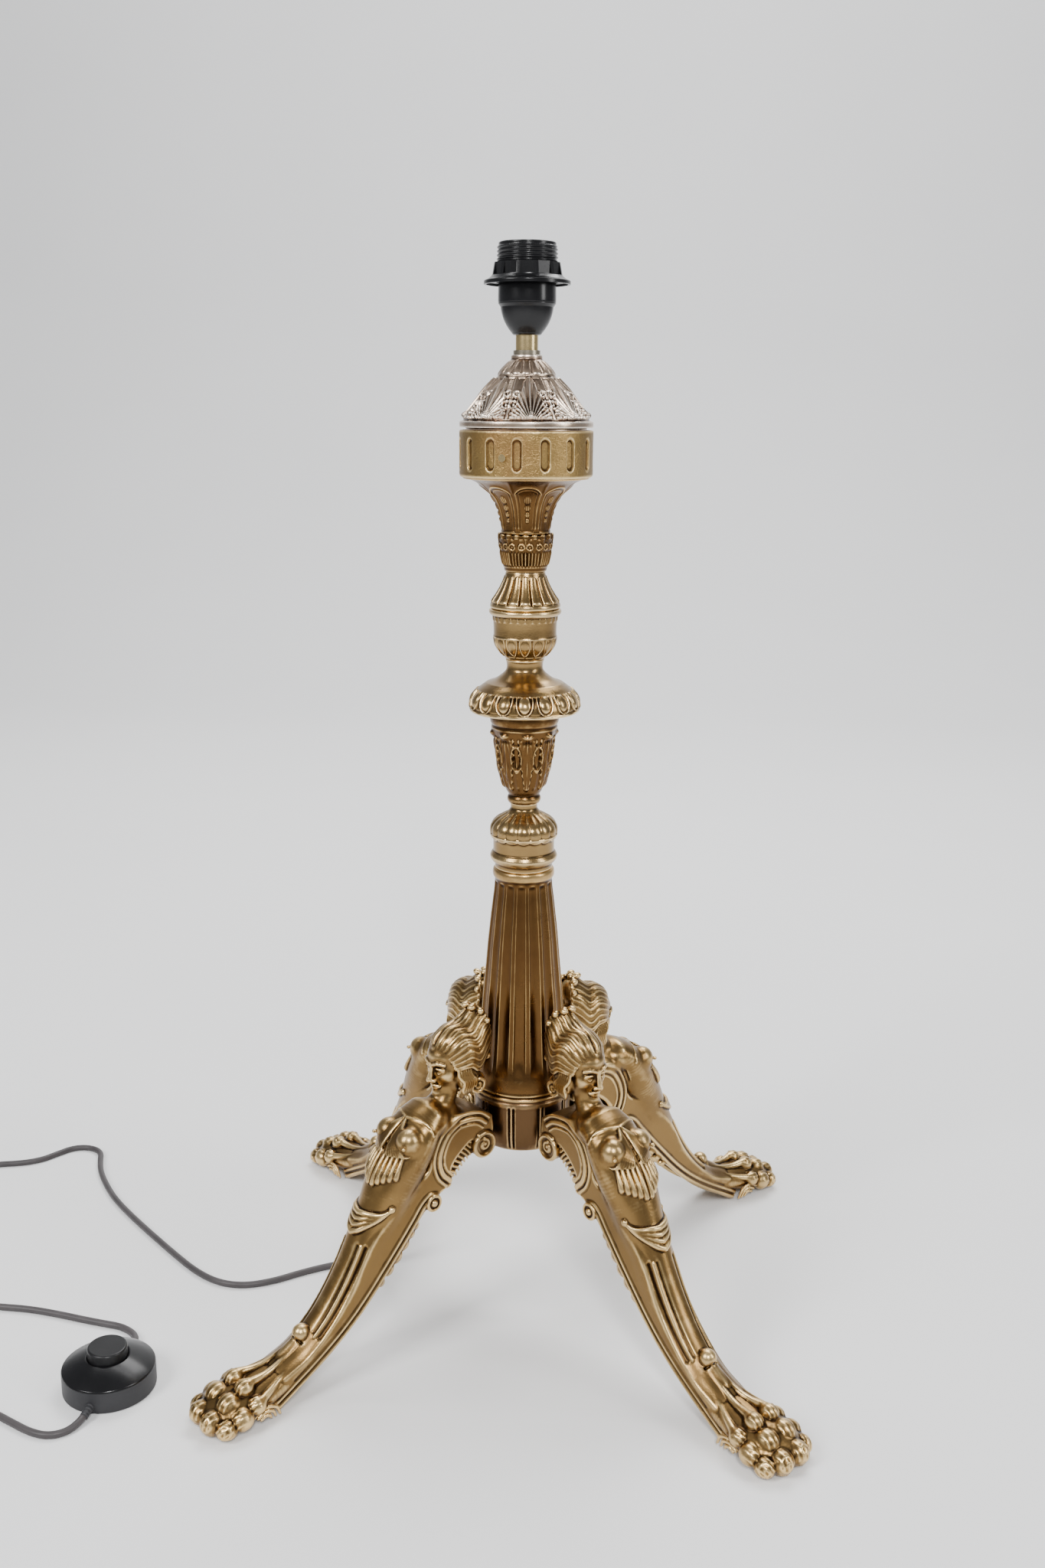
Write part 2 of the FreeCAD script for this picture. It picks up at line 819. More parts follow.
def shade_ring():
    """Flanged ring nut with twelve bevelled ribs that clamps a shade."""
    body = new_body("shade_ring")
    bore = cell("thread_radius") + cell("shade_ring_gap")
    flange = cell("shade_ring_radius")
    bottom = holder_seam + 13.0
    top = bottom + cell("shade_ring_height")
    turn_about_z(body, [
        (flange - 1.6, bottom - 1.2),
        (flange, bottom - 1.2),
        (flange, bottom + 0.6),
        (flange - 1.0, bottom + 1.4, 0.41),
        (bore + 4.6, bottom + 3.0, -0.1),
        (bore + 3.2, bottom + 4.2),
        (bore + 1.7, top),
        (bore, top),
        (bore, bottom),
        (flange - 1.6, bottom),
    ])
    doc.recompute()
    gap = outside_sketch(body, "ring_facet_outline", bore + 8.0, SHADE_RING_AZIMUTH)
    half = cell("facet_width") / 2.0
    closed_outline(gap, [
        (half * -0.9, top + 1.0),
        (half * -1.0, bottom + 4.6),
        (half, bottom + 4.6),
        (half * 0.9, top + 1.0),
    ])
    facet = pocket(body, gap, size_of(6.8), "ring_facet")
    repeat_round_z(body, facet, FACET_COUNT)
    return body


def socket_insert():
    """Insulating cup that carries the screw shell and the terminals."""
    inner = cell("bulb_bore_radius") + 0.7
    ledge = cell("bulb_bore_radius") + 0.2
    outer = cell("holder_radius") - cell("plastic_wall") - 0.3
    return turned_body("socket_insert", [
        (1.8, insert_floor),
        (outer, insert_floor),
        (outer, holder_top - 6.6),
        (inner, holder_top - 6.6),
        (inner, shell_base),
        (ledge, shell_base),
        (ledge, insert_floor + 4.0),
        (1.8, insert_floor + 4.0),
    ])


def terminals():
    """Two brass terminal blocks, each with its clamping screw, under the insert."""
    blocks = []
    for side, name in ((-1.0, "left"), (1.0, "right")):
        block = doc.addObject("Part::Box", "terminal_%s" % name)
        bind(block, Length=5.5, Width=6.0, Height=5.6)
        put(block, x=2.0 if side > 0 else -7.5, y=-3.0, z=insert_floor - 5.8)
        screw = cylinder("terminal_screw_%s" % name, 1.6, 3.4, x=side * 4.75, y=-6.2,
                         z=insert_floor - 3.0, rotation=Rotation(Vector(1, 0, 0), -90))
        blocks.append(fused("terminal_set_%s" % name, [block, screw]))
    group = doc.addObject("Part::Compound", "terminals")
    group.Links = blocks
    return group


def centre_contact():
    """Sprung brass button that meets the tip of the lamp."""
    return turned_body("centre_contact", [
        (0.0, insert_floor - 0.1),
        (1.7, insert_floor - 0.1),
        (1.7, insert_floor + 6.0),
        (4.2, insert_floor + 6.0),
        (4.2, insert_floor + 6.8),
        (1.6, insert_floor + 7.6, 0.2),
        (0.0, insert_floor + 7.6),
    ])


# ---------------------------------------------------------------- winged leg casting
# The leg is drawn with its own plane on XZ, X being the distance from the lamp axis.

leg_half = cell("leg_half_width")
toe = cell("toe_reach")
seat_radius = cell("drum_radius") + cell("seat_gap")

LEG_WAIST = 120.0  # distance from the lamp axis where the shin starts
SHIN_REACH = 163.0  # drawn distance from the waist to the tip of the toes


def shin_x(distance):
    """Place of a shin point that is drawn at this distance for a leg of the drawn reach."""
    return (toe - LEG_WAIST) * ((distance - LEG_WAIST) / SHIN_REACH) + LEG_WAIST


def ellipsoid(name, x, z, along, across, half_width, tilt=0.0, y=0.0):
    """Ellipsoid whose first half-axis points at the tilt above +X in the leg's plane."""
    item = doc.addObject("Part::Ellipsoid", name)
    bind(item, Radius1=across, Radius2=along, Radius3=half_width)
    item.Angle1 = -90
    item.Angle2 = 90
    return put(item, x=x, y=y, z=z, rotation=Rotation(Vector(0, 1, 0), -tilt))


def limb(name, stations):
    """Loft through ellipses (x, z, heading, half_width, half_depth) square to the heading."""
    rings = []
    for number, (x, z, heading, half_width, half_depth) in enumerate(stations):
        ring = doc.addObject("Part::Ellipse", "%s_ring%d" % (name, number))
        bind(ring, MajorRadius=half_width, MinorRadius=half_depth)
        turn = math.radians(heading)
        forward = Vector(math.cos(turn), 0, math.sin(turn))
        normal = Vector(-math.sin(turn), 0, math.cos(turn))
        put(ring, x=x, z=z, rotation=Rotation(Vector(0, 1, 0), normal, forward, "ZXY"))
        rings.append(ring)
    loft = doc.addObject("Part::Loft", name)
    loft.Sections = rings
    loft.Solid = True
    loft.Ruled = False
    return loft


def side_slab(name, corners, half_width):
    """Closed outline in the leg's plane, padded equally to both sides."""
    body = new_body(name)
    sketch = new_sketch(body, name + "_outline", "XZ_Plane")
    closed_outline(sketch, corners)
    pad = body.newObject("PartDesign::Pad", name + "_pad")
    pad.Profile = sketch
    pad.SideType = "Symmetric"
    bind(pad, Length=half_width * 2.0)
    body.Tip = pad
    return body


def scroll_frame():
    """Flat-sided C-scroll and shin walls, from the drum seat to the heel."""
    return side_slab("leg_frame", [
        (seat_radius - 3.0, 163.0),
        (seat_radius - 3.0, 144.0),
        (58.5, 147.0),
        (80.0, 126.0, -0.4),
        (82.0, 119.0),
        (99.0, 108.0),
        (119.0, 86.0, -0.05),
        (shin_x(146.0), 58.0, 0.06),
        (shin_x(176.0), 31.0, 0.05),
        (shin_x(205.0), 13.0, 0.05),
        (shin_x(228.0), 2.0, 0.03),
        (shin_x(228.0), 18.5),
        (shin_x(199.0), 32.5, -0.05),
        (shin_x(167.5), 62.5, -0.06),
        (shin_x(144.5), 100.0, -0.04),
        (97.0, 137.0, 0.05),
        (92.0, 152.0, 0.08),
        (72.0, 171.0, 0.25),
        (46.0, 166.0, 0.2),
    ], leg_half)


def sole_plate():
    """Thin foot plate with a pointed oval outline, flat on the floor."""
    body = new_body("leg_sole")
    sketch = new_sketch(body, "leg_sole_outline", "XY_Plane")
    half = cell("sole_half_width")
    closed_outline(sketch, [
        (toe - 75.0, half * -0.55),
        (toe - 35.0, half * -1.0, 0.12),
        (toe - 6.0, half * -0.6, 0.15),
        (toe - 6.0, half * 0.6, 0.22),
        (toe - 35.0, half, 0.15),
        (toe - 75.0, half * 0.55, 0.12),
    ])
    pad = body.newObject("PartDesign::Pad", "leg_sole_pad")
    pad.Profile = sketch
    bind(pad, Length=cell("sole_thick"))
    body.Tip = pad
    return body


def mirrored_pair(name, make, offset):
    return [make(name + "_near", offset * -1.0), make(name + "_far", offset)]


def leg_pattern():
    """One leg: scroll frame, limb, sole, paw, bust, wings, head and hair in one casting."""
    pieces = [scroll_frame(), sole_plate()]
    pieces.append(limb("leg_torso", [
        (90.0, 176.0, -40, leg_half + 4.0, 8.0),
        (98.0, 166.0, -48, leg_half + 8.0, 14.0),
        (110.0, 148.0, -57, leg_half + 8.0, 17.5),
        (121.0, 130.0, -60, leg_half + 5.0, 18.0),
        (131.0, 113.0, -60, leg_half + 2.0, 16.5),
    ]))
    pieces.append(limb("leg_shin", [
        (shin_x(130.0), 115.0, -60, leg_half - 1.2, 13.7),
        (shin_x(141.0), 98.0, -62, leg_half - 1.2, 13.5),
        (shin_x(151.5), 79.0, -59, leg_half - 1.2, 13.0),
        (shin_x(164.0), 60.0, -52, leg_half - 1.2, 12.5),
        (shin_x(179.0), 43.0, -43, leg_half - 1.2, 11.5),
        (shin_x(197.0), 29.0, -32, leg_half - 1.2, 10.5),
        (shin_x(217.0), 19.5, -20, leg_half - 1.2, 10.5),
    ]))
    pieces.append(limb("leg_paw", [
        (toe - 68.0, 20.0, -18, leg_half + 1.5, 10.5),
        (toe - 45.0, 14.5, -6, leg_half + 4.5, 12.5),
        (toe - 25.0, 12.0, -8, leg_half + 5.0, 10.5),
        (toe - 11.0, 8.0, -15, leg_half + 1.0, 7.0),
    ]))
    pieces.append(limb("leg_neck", [
        (70.0, 198.0, -80, 10.0, 9.5),
        (73.0, 186.0, -72, 10.0, 9.0),
        (82.0, 174.0, -50, leg_half + 1.0, 11.0),
        (90.0, 166.0, -45, leg_half + 3.0, 13.0),
    ]))
    pieces.append(ellipsoid("leg_head", 68.0, 210.0, 17.5, 24.0, cell("head_radius"), -8.0))
    pieces.append(ellipsoid("leg_hair", 58.0, 217.0, 21.0, 20.0, cell("head_radius") + 4.5))
    pieces.append(ellipsoid("leg_crest", 47.0, 234.0, 16.0, 10.0, 12.0, 150.0))
    pieces += mirrored_pair("leg_curl", lambda name, y: ellipsoid(
        name, 53.0, 190.0, 10.5, 8.5, 6.5, 0.0, y), size_of(11.5))
    pieces += mirrored_pair("leg_breast", lambda name, y: ellipsoid(
        name, 103.0, 158.0, 10.5, 9.0, 9.0, 35.0, y), size_of(11.5))
    pieces += mirrored_pair("leg_wing", lambda name, y: ellipsoid(
        name, 115.0, 144.0, 33.0, 12.0, 7.0, -68.0, y), cell("wing_half_span") - 7.0)
    pieces.append(ellipsoid("leg_drape", 134.0, 114.0, 6.5, 19.5, leg_half + 4.0, -52.0))
    pieces.append(ellipsoid("leg_knob", shin_x(195.5), 40.5, cell("knob_radius"),
                            cell("knob_radius"), cell("knob_radius")))
    for number, y in enumerate((-15.8, -5.4, 5.4, 15.8)):
        reach = 24.0 if abs(y) > 10.0 else 21.5
        pieces.append(ellipsoid("leg_toe%d" % number, toe - reach, 14.5, 19.5, 8.0, 6.6, -27.0, y))
    for name, x, z, radius in (("leg_volute", 48.5, 142.0, cell("volute_radius")),
                               ("leg_small_volute", 94.0, 111.0, cell("small_volute_radius"))):
        pieces.append(cylinder(name, radius, leg_half * 2.0 + 3.0, x=x, z=z,
                               y=leg_half + 1.5, rotation=Rotation(Vector(1, 0, 0), 90)))
    solid = fused("leg_solid", pieces)
    channel = side_slab("leg_channel", [
        (62.0, 139.0),
        (79.0, 124.0, -0.3),
        (94.0, 117.0),
        (112.0, 101.0),
        (shin_x(128.0), 92.0),
        (shin_x(153.0), 66.0, 0.05),
        (shin_x(182.0), 38.0, 0.05),
        (shin_x(208.0), 20.0, 0.05),
        (shin_x(228.0), 12.0),
        (shin_x(228.0), -5.0),
        (60.0, -5.0),
    ], leg_half - 4.0)
    seat = cylinder("leg_seat_cut", seat_radius, 60.0, z=drum_base - 10.0)
    bolt_hole = cylinder("leg_bolt_cut", cell("bolt_radius") + 0.2, 26.0, x=seat_radius - 12.0,
                         z=bolt_level, rotation=Rotation(Vector(0, 1, 0), 90))
    under = doc.addObject("Part::Box", "leg_floor_cut")
    bind(under, Length=400.0, Width=200.0, Height=60.0)
    put(under, y=-100.0, z=-60.0)
    tools = fused("leg_cuts", [channel, seat, bolt_hole, under])
    return cut_from("leg_pattern", solid, tools)


def placed_legs(pattern):
    for name, azimuth in LEG_AZIMUTHS:
        leg = doc.addObject("Part::Compound", name)
        leg.Links = [pattern]
        leg.Placement = Placement(Vector(0, 0, 0), Rotation(Vector(0, 0, 1), azimuth))
        keep(leg, name)


def leg_bolts():
    """Four cap screws from inside the drum into the legs."""
    screws = []
    head_back = cell("drum_radius") - cell("drum_wall") - 4.3
    for name, azimuth in LEG_AZIMUTHS:
        turn = Rotation(Vector(0, 0, 1), azimuth)
        lie = turn.multiply(Rotation(Vector(0, 1, 0), 90))
        along = turn.multVec(Vector(1, 0, 0))
        head = cylinder(name + "_bolt_head", cell("bolt_radius") + 1.75, 4.0, rotation=lie,
                        x=head_back * along.x, y=head_back * along.y, z=bolt_level)
        start = head_back + 3.0
        shank = cylinder(name + "_bolt_shank", cell("bolt_radius"), cell("bolt_length"),
                         rotation=lie, x=start * along.x, y=start * along.y, z=bolt_level)
        screws.append(fused(name + "_bolt", [head, shank]))
    group = doc.addObject("Part::Compound", "leg_bolts")
    group.Links = screws
    return group


def cup_screw():
    """Small round-headed screw through the wall of the cup."""
    turn = Rotation(Vector(0, 0, 1), CUP_SCREW_AZIMUTH)
    lie = turn.multiply(Rotation(Vector(0, 1, 0), 90))
    along = turn.multVec(Vector(1, 0, 0))
    radius = cell("cup_screw_radius")
    seat = cell("cup_radius")
    shank_start = seat - cell("cup_wall") - 1.0
    shank = cylinder("cup_screw_shank", radius, cell("cup_wall") + 1.2, rotation=lie,
                     x=shank_start * along.x, y=shank_start * along.y, z=slot_level - 1.0)
    head = cylinder("cup_screw_head", radius + 1.0, 1.2, rotation=lie,
                    x=seat * along.x, y=seat * along.y, z=slot_level - 1.0)
    return fused("cup_screw", [shank, head])


# ---------------------------------------------------------------- leads: routes and coil

CORD_HEIGHT = 2.5
RUN_SHARE = 0.45  # share of a run given to each bend at its ends

SWITCH_CENTRE = Vector(-273.0, -152.0, 0.0)
SWITCH_HEADING = -93.6
COIL_CENTRE = Vector(-397.0, -214.0, 0.0)
PLUG_TAIL = Vector(-429.0, -250.0, 6.85)
PLUG_HEADING = -90.0


def switch_point(along, height):
    """Point on the switch's cord line, measured from its centre towards the front."""
    turn = math.radians(SWITCH_HEADING)
    return SWITCH_CENTRE + Vector(along * math.cos(turn), along * math.sin(turn), height)


def floor_points(pairs):
    return [Vector(x, y, CORD_HEIGHT) for x, y in pairs]


LAMP_LEAD = [
    Vector(-43.0, 0.0, 144.5), Vector(-59.0, 0.0, 144.5), Vector(-80.0, 1.5, 130.0),
    Vector(-90.0, 4.0, 104.0), Vector(-96.0, 7.0, 74.0), Vector(-101.0, 10.0, 44.0),
    Vector(-110.0, 13.0, 19.0), Vector(-128.0, 15.0, 4.5),
] + floor_points([
    (-150.0, 10.0), (-172.0, -3.0), (-192.0, -18.0), (-213.0, -26.5), (-234.0, -24.0),
    (-255.0, -11.0), (-277.0, 9.0), (-307.0, 38.0), (-335.0, 66.0), (-358.0, 91.0),
    (-375.0, 115.0), (-388.0, 137.0), (-395.0, 155.0), (-400.0, 171.0), (-413.0, 178.5),
    (-428.0, 176.0), (-438.0, 164.0), (-448.0, 151.0), (-464.0, 143.0), (-484.0, 139.0),
    (-506.0, 129.0),
    (-522.0, 106.0), (-527.0, 70.0), (-516.0, 28.0), (-493.0, -12.0), (-461.0, -44.0),
    (-427.0, -65.0), (-395.0, -73.0), (-367.0, -73.0), (-342.0, -77.0), (-320.0, -82.0),
    (-302.0, -85.5), (-287.0, -88.0), (-275.5, -95.5),
]) + [switch_point(-46.0, 4.5), switch_point(-33.0, 5.5), switch_point(-20.2, 5.5)]

MAINS_LEAD = [
    switch_point(20.2, 5.5), switch_point(31.5, 5.5), Vector(-276.5, -195.5, 4.0),
] + floor_points([
    (-282.0, -206.0), (-293.0, -211.5), (-306.0, -209.0), (-322.0, -201.0), (-341.0, -191.0),
    (-366.0, -183.5), (-388.0, -181.0)])


def rounded_route(points):
    """Straight runs joined by tangent arcs, each as long as the shorter run beside it allows."""
    edges = []
    last = points[0]
    tightest = 1e9
    for before, corner, after in zip(points, points[1:], points[2:]):
        come = (corner - before).normalize()
        go = (after - corner).normalize()
        bend = come.getAngle(go)
        trim = RUN_SHARE * min((corner - before).Length, (after - corner).Length)
        radius = trim / math.tan(bend / 2.0)
        tightest = min(tightest, radius)
        start = corner - come * trim
        end = corner + go * trim
        inward = (go - come).normalize()
        middle = corner + inward * (radius / math.cos(bend / 2.0) - radius)
        edges.append(Part.makeLine(last, start))
        edges.append(Part.Arc(start, middle, end).toShape())
        last = end
    edges.append(Part.makeLine(last, points[-1]))
    return edges, tightest


def biarc(p0, t0, p1, t1):
    """Two tangent arcs from p0 heading t0 to p1 heading t1."""
    gap = p1 - p0
    both = t0 + t1
    lean = 2.0 * (1.0 - t0.dot(t1))
    across = gap.dot(both)
    if abs(lean) < 1e-9:
        reach = gap.dot(gap) / (4.0 * gap.dot(t1))
    else:
        reach = (-across + math.sqrt(across * across + lean * gap.dot(gap))) / lean
    q0 = p0 + t0 * reach
    q1 = p1 - t1 * reach
    joint = (q0 + q1) * 0.5
    arcs = []
    for start, knee, end in ((p0, q0, joint), (joint, q1, p1)):
        chord = end - start
        half = chord.Length / 2.0
        centre = (start + end) * 0.5
        rise = knee - centre
        if rise.Length < 1e-6:
            arcs.append(Part.makeLine(start, end))
            continue
        lean_angle = math.acos(min(1.0, half / (knee - start).Length))
        middle = centre + rise.normalize() * (half * math.tan(lean_angle / 2.0))
        arcs.append(Part.Arc(start, middle, end).toShape())
    return arcs


def coil_nodes():
    """Quarter-turn points and headings of the two-layer coil, wound inward and out again."""
    steps_in = 8
    steps_climb = 2
    steps_out = 7
    pitch = cell("coil_pitch").value
    inner = cell("coil_inner_radius").value
    low = CORD_HEIGHT + 0.05
    high = low + cell("coil_layer_rise").value

    def place(step):
        if step <= steps_in:
            radius = inner + pitch * (steps_in - step) / 4.0
            height = low
        elif step <= steps_in + steps_climb:
            radius = inner
            share = (step - steps_in) / steps_climb
            height = low + (high - low) * (share * share * (3.0 - 2.0 * share))
        else:
            radius = inner + pitch * (step - steps_in - steps_climb) / 4.0
            height = high
        angle = math.pi / 2.0 + step * math.pi / 2.0
        return COIL_CENTRE + Vector(radius * math.cos(angle), radius * math.sin(angle), height)

    total = steps_in + steps_climb + steps_out
    nodes = []
    nudge = 0.02
    for step in range(total + 1):
        back = place(max(0.0, step - nudge))
        ahead = place(min(float(total), step + nudge))
        nodes.append((place(step), (ahead - back).normalize()))
    return nodes


def coil_edges():
    nodes = coil_nodes()
    edges = []
    for (p0, t0), (p1, t1) in zip(nodes, nodes[1:]):
        edges += biarc(p0, t0, p1, t1)
    out = Vector(math.cos(math.radians(PLUG_HEADING)), math.sin(math.radians(PLUG_HEADING)), 0)
    straight = PLUG_TAIL - out * (2.0 * cell("cord_radius").value)
    edges += biarc(nodes[-1][0], nodes[-1][1], straight, out)
    edges.append(Part.makeLine(straight, PLUG_TAIL))
    start, heading = nodes[0]
    lead_end = MAINS_LEAD[-1]
    along = (lead_end - MAINS_LEAD[-2]).normalize()
    first = lead_end + along * (2.0 * cell("cord_radius").value)
    return [Part.makeLine(lead_end, first)] + biarc(first, along, start, heading) + edges


def swept_cord(name, edges, sides=0):
    """Cord of the sheet's radius along a route; round, or with flat sides for a coil."""
    wire = Part.Wire(Part.__sortEdges__(edges))
    spine = doc.addObject("Part::Feature", name + "_route")
    spine.Shape = wire
    start = edges[0].valueAt(edges[0].FirstParameter)
    heading = edges[0].tangentAt(edges[0].FirstParameter)
    if sides:
        section = doc.addObject("Part::RegularPolygon", name + "_section")
        section.Polygon = sides
        bind(section, Circumradius=cell("cord_radius"))
    else:
        section = doc.addObject("Part::Circle", name + "_section")
        bind(section, Radius=cell("cord_radius"))
    section.Placement = Placement(start, Rotation(Vector(0, 0, 1), heading))
    sweep = doc.addObject("Part::Sweep", name)
    sweep.Sections = [section]
    sweep.Spine = (spine, ["Edge%d" % (number + 1) for number in range(len(edges))])
    sweep.Solid = True
    sweep.Frenet = False
    return sweep


def inner_flex():
    """Flex from the terminals down the tie tube, round a bend and out to the bush."""
    radius = cell("cord_radius")
    bend = tube_end - bush_level
    drop = cylinder("flex_drop", radius, insert_floor - 5.8 - tube_end, z=tube_end)
    elbow = doc.addObject("Part::Torus", "flex_elbow")
    bind(elbow, Radius1=bend, Radius2=radius)
    elbow.Angle3 = 90
    put(elbow, x=bend * -1.0, z=tube_end, rotation=Rotation(Vector(1, 0, 0), -90))
    out = cylinder("flex_out", radius, cell("drum_radius") + 7.0 - bend, x=bend * -1.0,
                   z=bush_level, rotation=Rotation(Vector(0, 1, 0), -90))
    return fused("inner_flex", [drop, elbow, out])


def cord_bush():
    """Flanged plastic bush in the drum wall."""
    radius = cell("bush_radius")
    wall = cell("drum_radius")
    lie = Rotation(Vector(0, 1, 0), -90)
    barrel = cylinder("bush_barrel", radius, cell("drum_wall") + 8.0,
                      x=(wall - cell("drum_wall") - 1.0) * -1.0, z=bush_level, rotation=lie)
    flange = cylinder("bush_flange", radius + 2.0, 2.0, x=wall * -1.0, z=bush_level, rotation=lie)
    bore = cylinder("bush_bore", cell("cord_radius") + 0.05, cell("drum_wall") + 20.0,
                    x=(wall - cell("drum_wall") - 5.0) * -1.0, z=bush_level, rotation=lie)
    return cut_from("cord_bush", fused("bush_solid", [barrel, flange]), bore)


# ---------------------------------------------------------------- foot switch and plug

switch_top = cell("switch_base_height")
cone_top = switch_top + cell("switch_cone_height")
cord_level = size_of(5.5)


def at_switch(item):
    item.Placement = Placement(SWITCH_CENTRE, Rotation(Vector(0, 0, 1), SWITCH_HEADING))
    return item


def switch_base():
    """Round tray with a cord hole front and back and two posts for the contacts."""
    radius = cell("switch_radius")
    body = new_body("switch_base")
    turn_about_z(body, [
        (0.0, 0.0),
        (radius - 1.5, 0.0),
        (radius, 1.5, 0.41),
        (radius, switch_top),
        (radius - 2.0, switch_top),
        (radius - 2.0, 2.2),
        (0.0, 2.2),
    ])
    doc.recompute()
    hole = outside_sketch(body, "cord_hole_outline", radius + 1.0, 0.0)
    circle_at(hole, 0.0, cord_level, cell("cord_radius") + 0.1, "hole")
    holes = pocket(body, hole, size_of(6.0), "cord_hole")
    repeat_round_z(body, holes, 2)
    return at_switch(body)


def switch_cover():
    """Glossy cone with a spigot into the tray and a hole for the button."""
    radius = cell("switch_radius")
    hole = cell("button_radius") + cell("button_gap")
    return at_switch(turned_body("switch_cover", [
        (radius - 4.0, switch_top - 3.0),
        (radius - 2.2, switch_top - 3.0),
        (radius - 2.2, switch_top),
        (radius, switch_top),
        (radius - 0.6, switch_top + 1.4, 0.2),
        (hole + 1.4, cone_top, 0.06),
        (hole, cone_top - 0.4, 0.2),
        (hole, cone_top - 2.2),
        (radius - 4.0, switch_top - 0.6, -0.06),
    ]))


def switch_button():
    """Round foot button, hollow, with a flange under the cover and a boss on the spring."""
    radius = cell("button_radius")
    top = cone_top + cell("button_rise")
    return at_switch(turned_body("switch_button", [
        (0.0, cone_top - 5.0),
        (3.0, cone_top - 5.0),
        (3.0, top - 2.2),
        (radius - 2.0, top - 2.2),
        (radius - 2.0, cone_top - 5.4),
        (radius + 2.6, cone_top - 5.4),
        (radius + 2.6, cone_top - 3.9),
        (radius, cone_top - 3.9),
        (radius, top - 1.6),
        (radius - 1.6, top, 0.41),
        (0.0, top),
    ]))


def bridge_outline(body, name, corners, width):
    """Outline in the switch's length plane, padded across it."""
    sketch = new_sketch(body, name, "XZ_Plane")
    closed_outline(sketch, corners)
    pad = body.newObject("PartDesign::Pad", name + "_pad")
    pad.Profile = sketch
    pad.SideType = "Symmetric"
    bind(pad, Length=width)
    body.Tip = pad


def switch_spring():
    """Bowed leaf between the contact blocks, under the button's boss."""
    body = new_body("switch_spring")
    crown = cone_top - 5.0
    foot = contact_top
    rise = (crown - foot) / 14.0
    thick = 0.5
    bridge_outline(body, "spring_outline", [
        (14.0, foot),
        (0.0, crown, math.tan(math.atan(rise.value) / 2.0)),
        (-14.0, foot, math.tan(math.atan(rise.value) / 2.0)),
        (-14.0 + thick, foot),
        (0.0, crown - thick, -math.tan(math.atan(rise.value) / 2.0)),
        (14.0 - thick, foot, -math.tan(math.atan(rise.value) / 2.0)),
    ], size_of(8.0))
    return at_switch(body)


def switch_contacts():
    """Brass terminal blocks on the tray floor, one at each cord."""
    blocks = []
    for name, start in (("front", 12.0), ("back", -20.0)):
        block = doc.addObject("Part::Box", "contact_%s" % name)
        bind(block, Length=8.0, Width=9.0, Height=contact_top - 2.2)
        put(block, x=start, y=-4.5, z=2.2)
        blocks.append(block)
    group = doc.addObject("Part::Compound", "switch_contacts")
    group.Links = blocks
    return at_switch(group)


contact_top = size_of(9.0)


def at_plug(item):
    item.Placement = Placement(PLUG_TAIL, Rotation(Vector(0, 0, 1), PLUG_HEADING))
    return item


def plug_body():
    """Flat moulded two-pin plug, waisted for the fingers."""
    body = new_body("plug_body")
    sketch = new_sketch(body, "plug_outline", "XY_Plane")
    length = cell("plug_length")
    half = cell("plug_half_width")
    closed_outline(sketch, [
        (0.0, -4.2),
        (length * 0.3, -5.4, 0.02),
        (length * 0.62, half * -1.0, -0.12),
        (length * 0.86, half * -1.0, 0.1),
        (length, half * -0.76, 0.1),
        (length, half * 0.76),
        (length * 0.86, half, 0.1),
        (length * 0.62, half, 0.1),
        (length * 0.3, 5.4, -0.12),
        (0.0, 4.2, 0.02),
    ])
    pad = body.newObject("PartDesign::Pad", "plug_pad")
    pad.Profile = sketch
    pad.SideType = "Symmetric"
    bind(pad, Length=cell("plug_thick"))
    body.Tip = pad
    return at_plug(body)


def plug_pins():
    pins = []
    for name, side in (("left", -0.5), ("right", 0.5)):
        pins.append(cylinder("pin_%s" % name, cell("pin_radius"), cell("pin_length"),
                             x=cell("plug_length"), y=cell("pin_spacing") * side,
                             rotation=Rotation(Vector(0, 1, 0), 90)))
    group = doc.addObject("Part::Compound", "plug_pins")
    group.Links = pins
    return at_plug(group)


# ---------------------------------------------------------------- build, check and write

tie_radius = cell("tie_radius")
washer = cell("washer_radius")
washer_thick = cell("washer_thick")

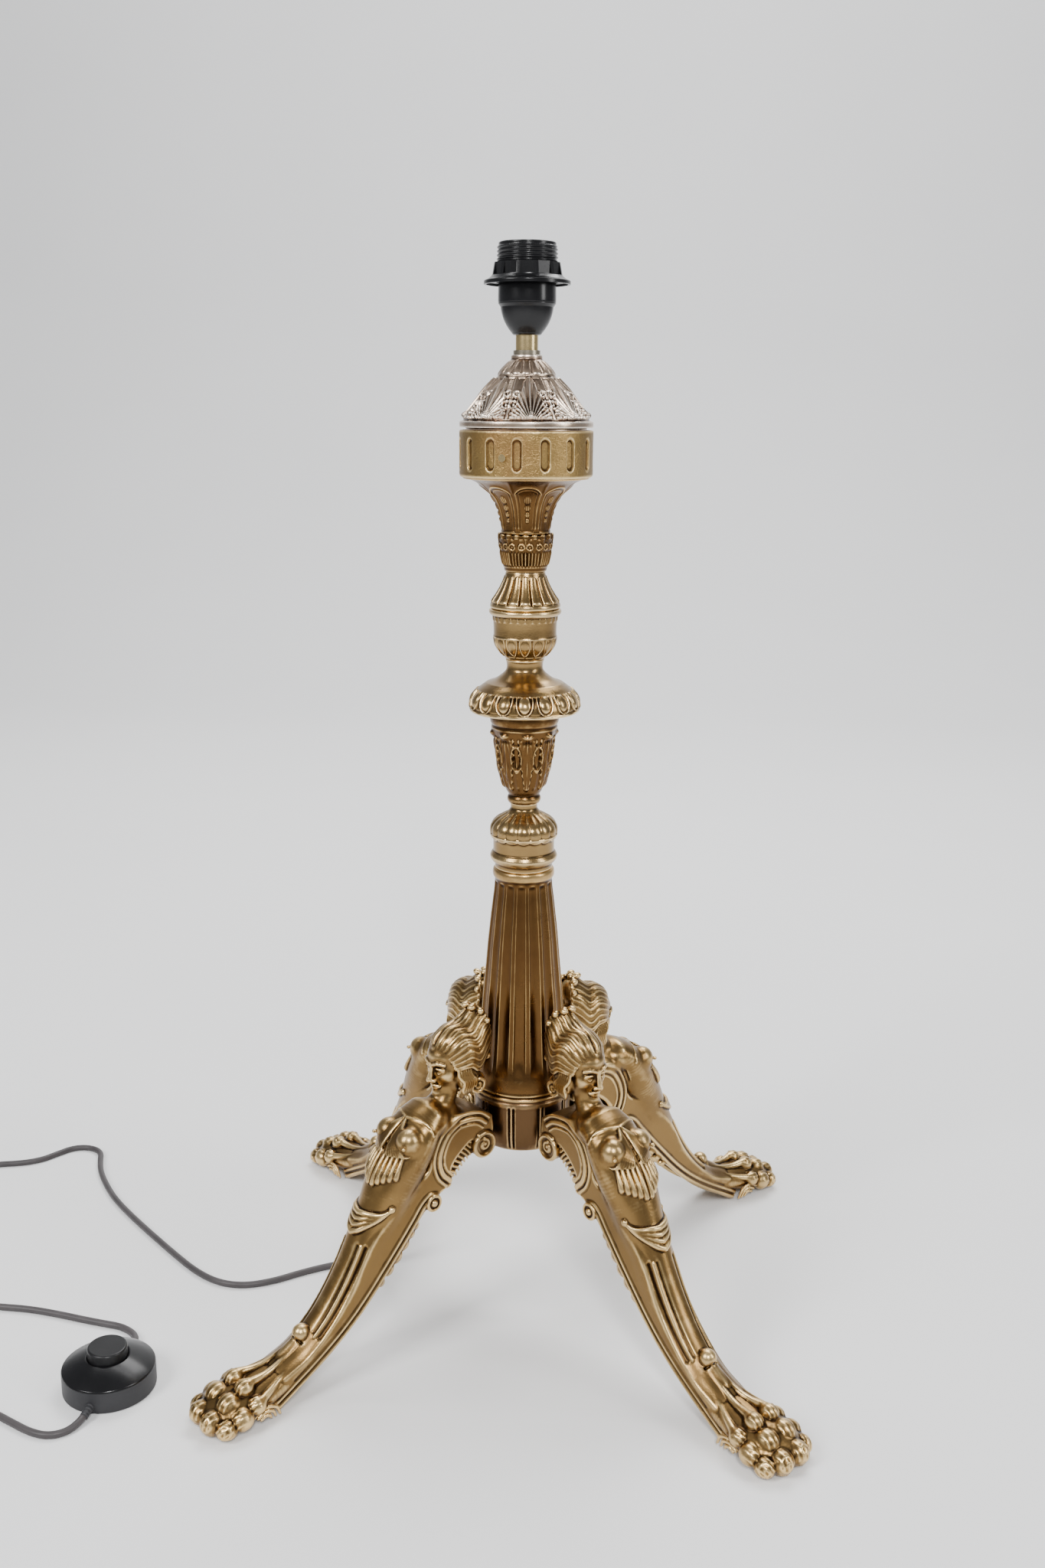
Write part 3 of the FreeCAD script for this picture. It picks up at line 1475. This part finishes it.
for maker in (base_drum, fluted_column, cushion_collar, leaf_vase, drip_disc, knop, gadroon_bell,
              leaf_collar, capital, slotted_cup, dome_cap, tie_tube, holder_cap, holder_sleeve,
              shade_ring, socket_insert, terminals, centre_contact, inner_flex, cord_bush,
              leg_bolts, cup_screw, switch_base, switch_cover, switch_button, switch_spring,
              switch_contacts, plug_body, plug_pins):
    keep(maker(), maker.__name__)

keep(ring_body("base_washer", tie_radius + 0.1, washer, base_nut_top, floor_level))
keep(hex_nut("base_nut", base_nut_top - cell("nut_height")), "base_nut")
keep(ring_body("cup_washer", tie_radius + 0.1, washer, cup_floor, cup_floor + washer_thick))
keep(hex_nut("cup_nut", cup_floor + washer_thick), "cup_nut")
keep(hex_nut("dome_nut", dome_nut_top - cell("nut_height")), "dome_nut")
keep(ring_body("lock_ring", tie_radius + 0.1, cell("lock_ring_radius"), dome_top, lock_top))
keep(ring_body("cover_tube", tie_radius + 0.1, cell("tube_radius"), lock_top, tube_top))
keep(ring_body("screw_shell", cell("bulb_bore_radius"), cell("bulb_bore_radius") + 0.5,
               shell_base, shell_top))
placed_legs(leg_pattern())

lamp_edges, lamp_tightest = rounded_route(LAMP_LEAD)
mains_edges, mains_tightest = rounded_route(MAINS_LEAD)
keep(swept_cord("lamp_lead", lamp_edges), "lamp_lead")
keep(swept_cord("mains_lead", mains_edges), "mains_lead")
keep(swept_cord("mains_coil", coil_edges(), sides=6), "mains_coil")

doc.recompute()
print("tightest bends: lamp lead %.1f mm, mains lead %.1f mm" % (lamp_tightest, mains_tightest))

for item in doc.Objects:
    if "Invalid" in item.State or "Error" in item.State:
        raise RuntimeError("%s did not build: %s" % (item.Name, item.State))

os.makedirs("parts", exist_ok=True)
for item in PARTS:
    shape = item.Shape
    if shape.isNull() or not shape.isValid() or not shape.Solids:
        raise RuntimeError("%s has no valid solid" % item.Label)
    shape.exportStep("parts/%s.step" % item.Label)
    box = shape.BoundBox
    print("%-18s solids %d  volume %9.0f  z %.1f to %.1f" % (
        item.Label, len(shape.Solids), shape.Volume, box.ZMin, box.ZMax))
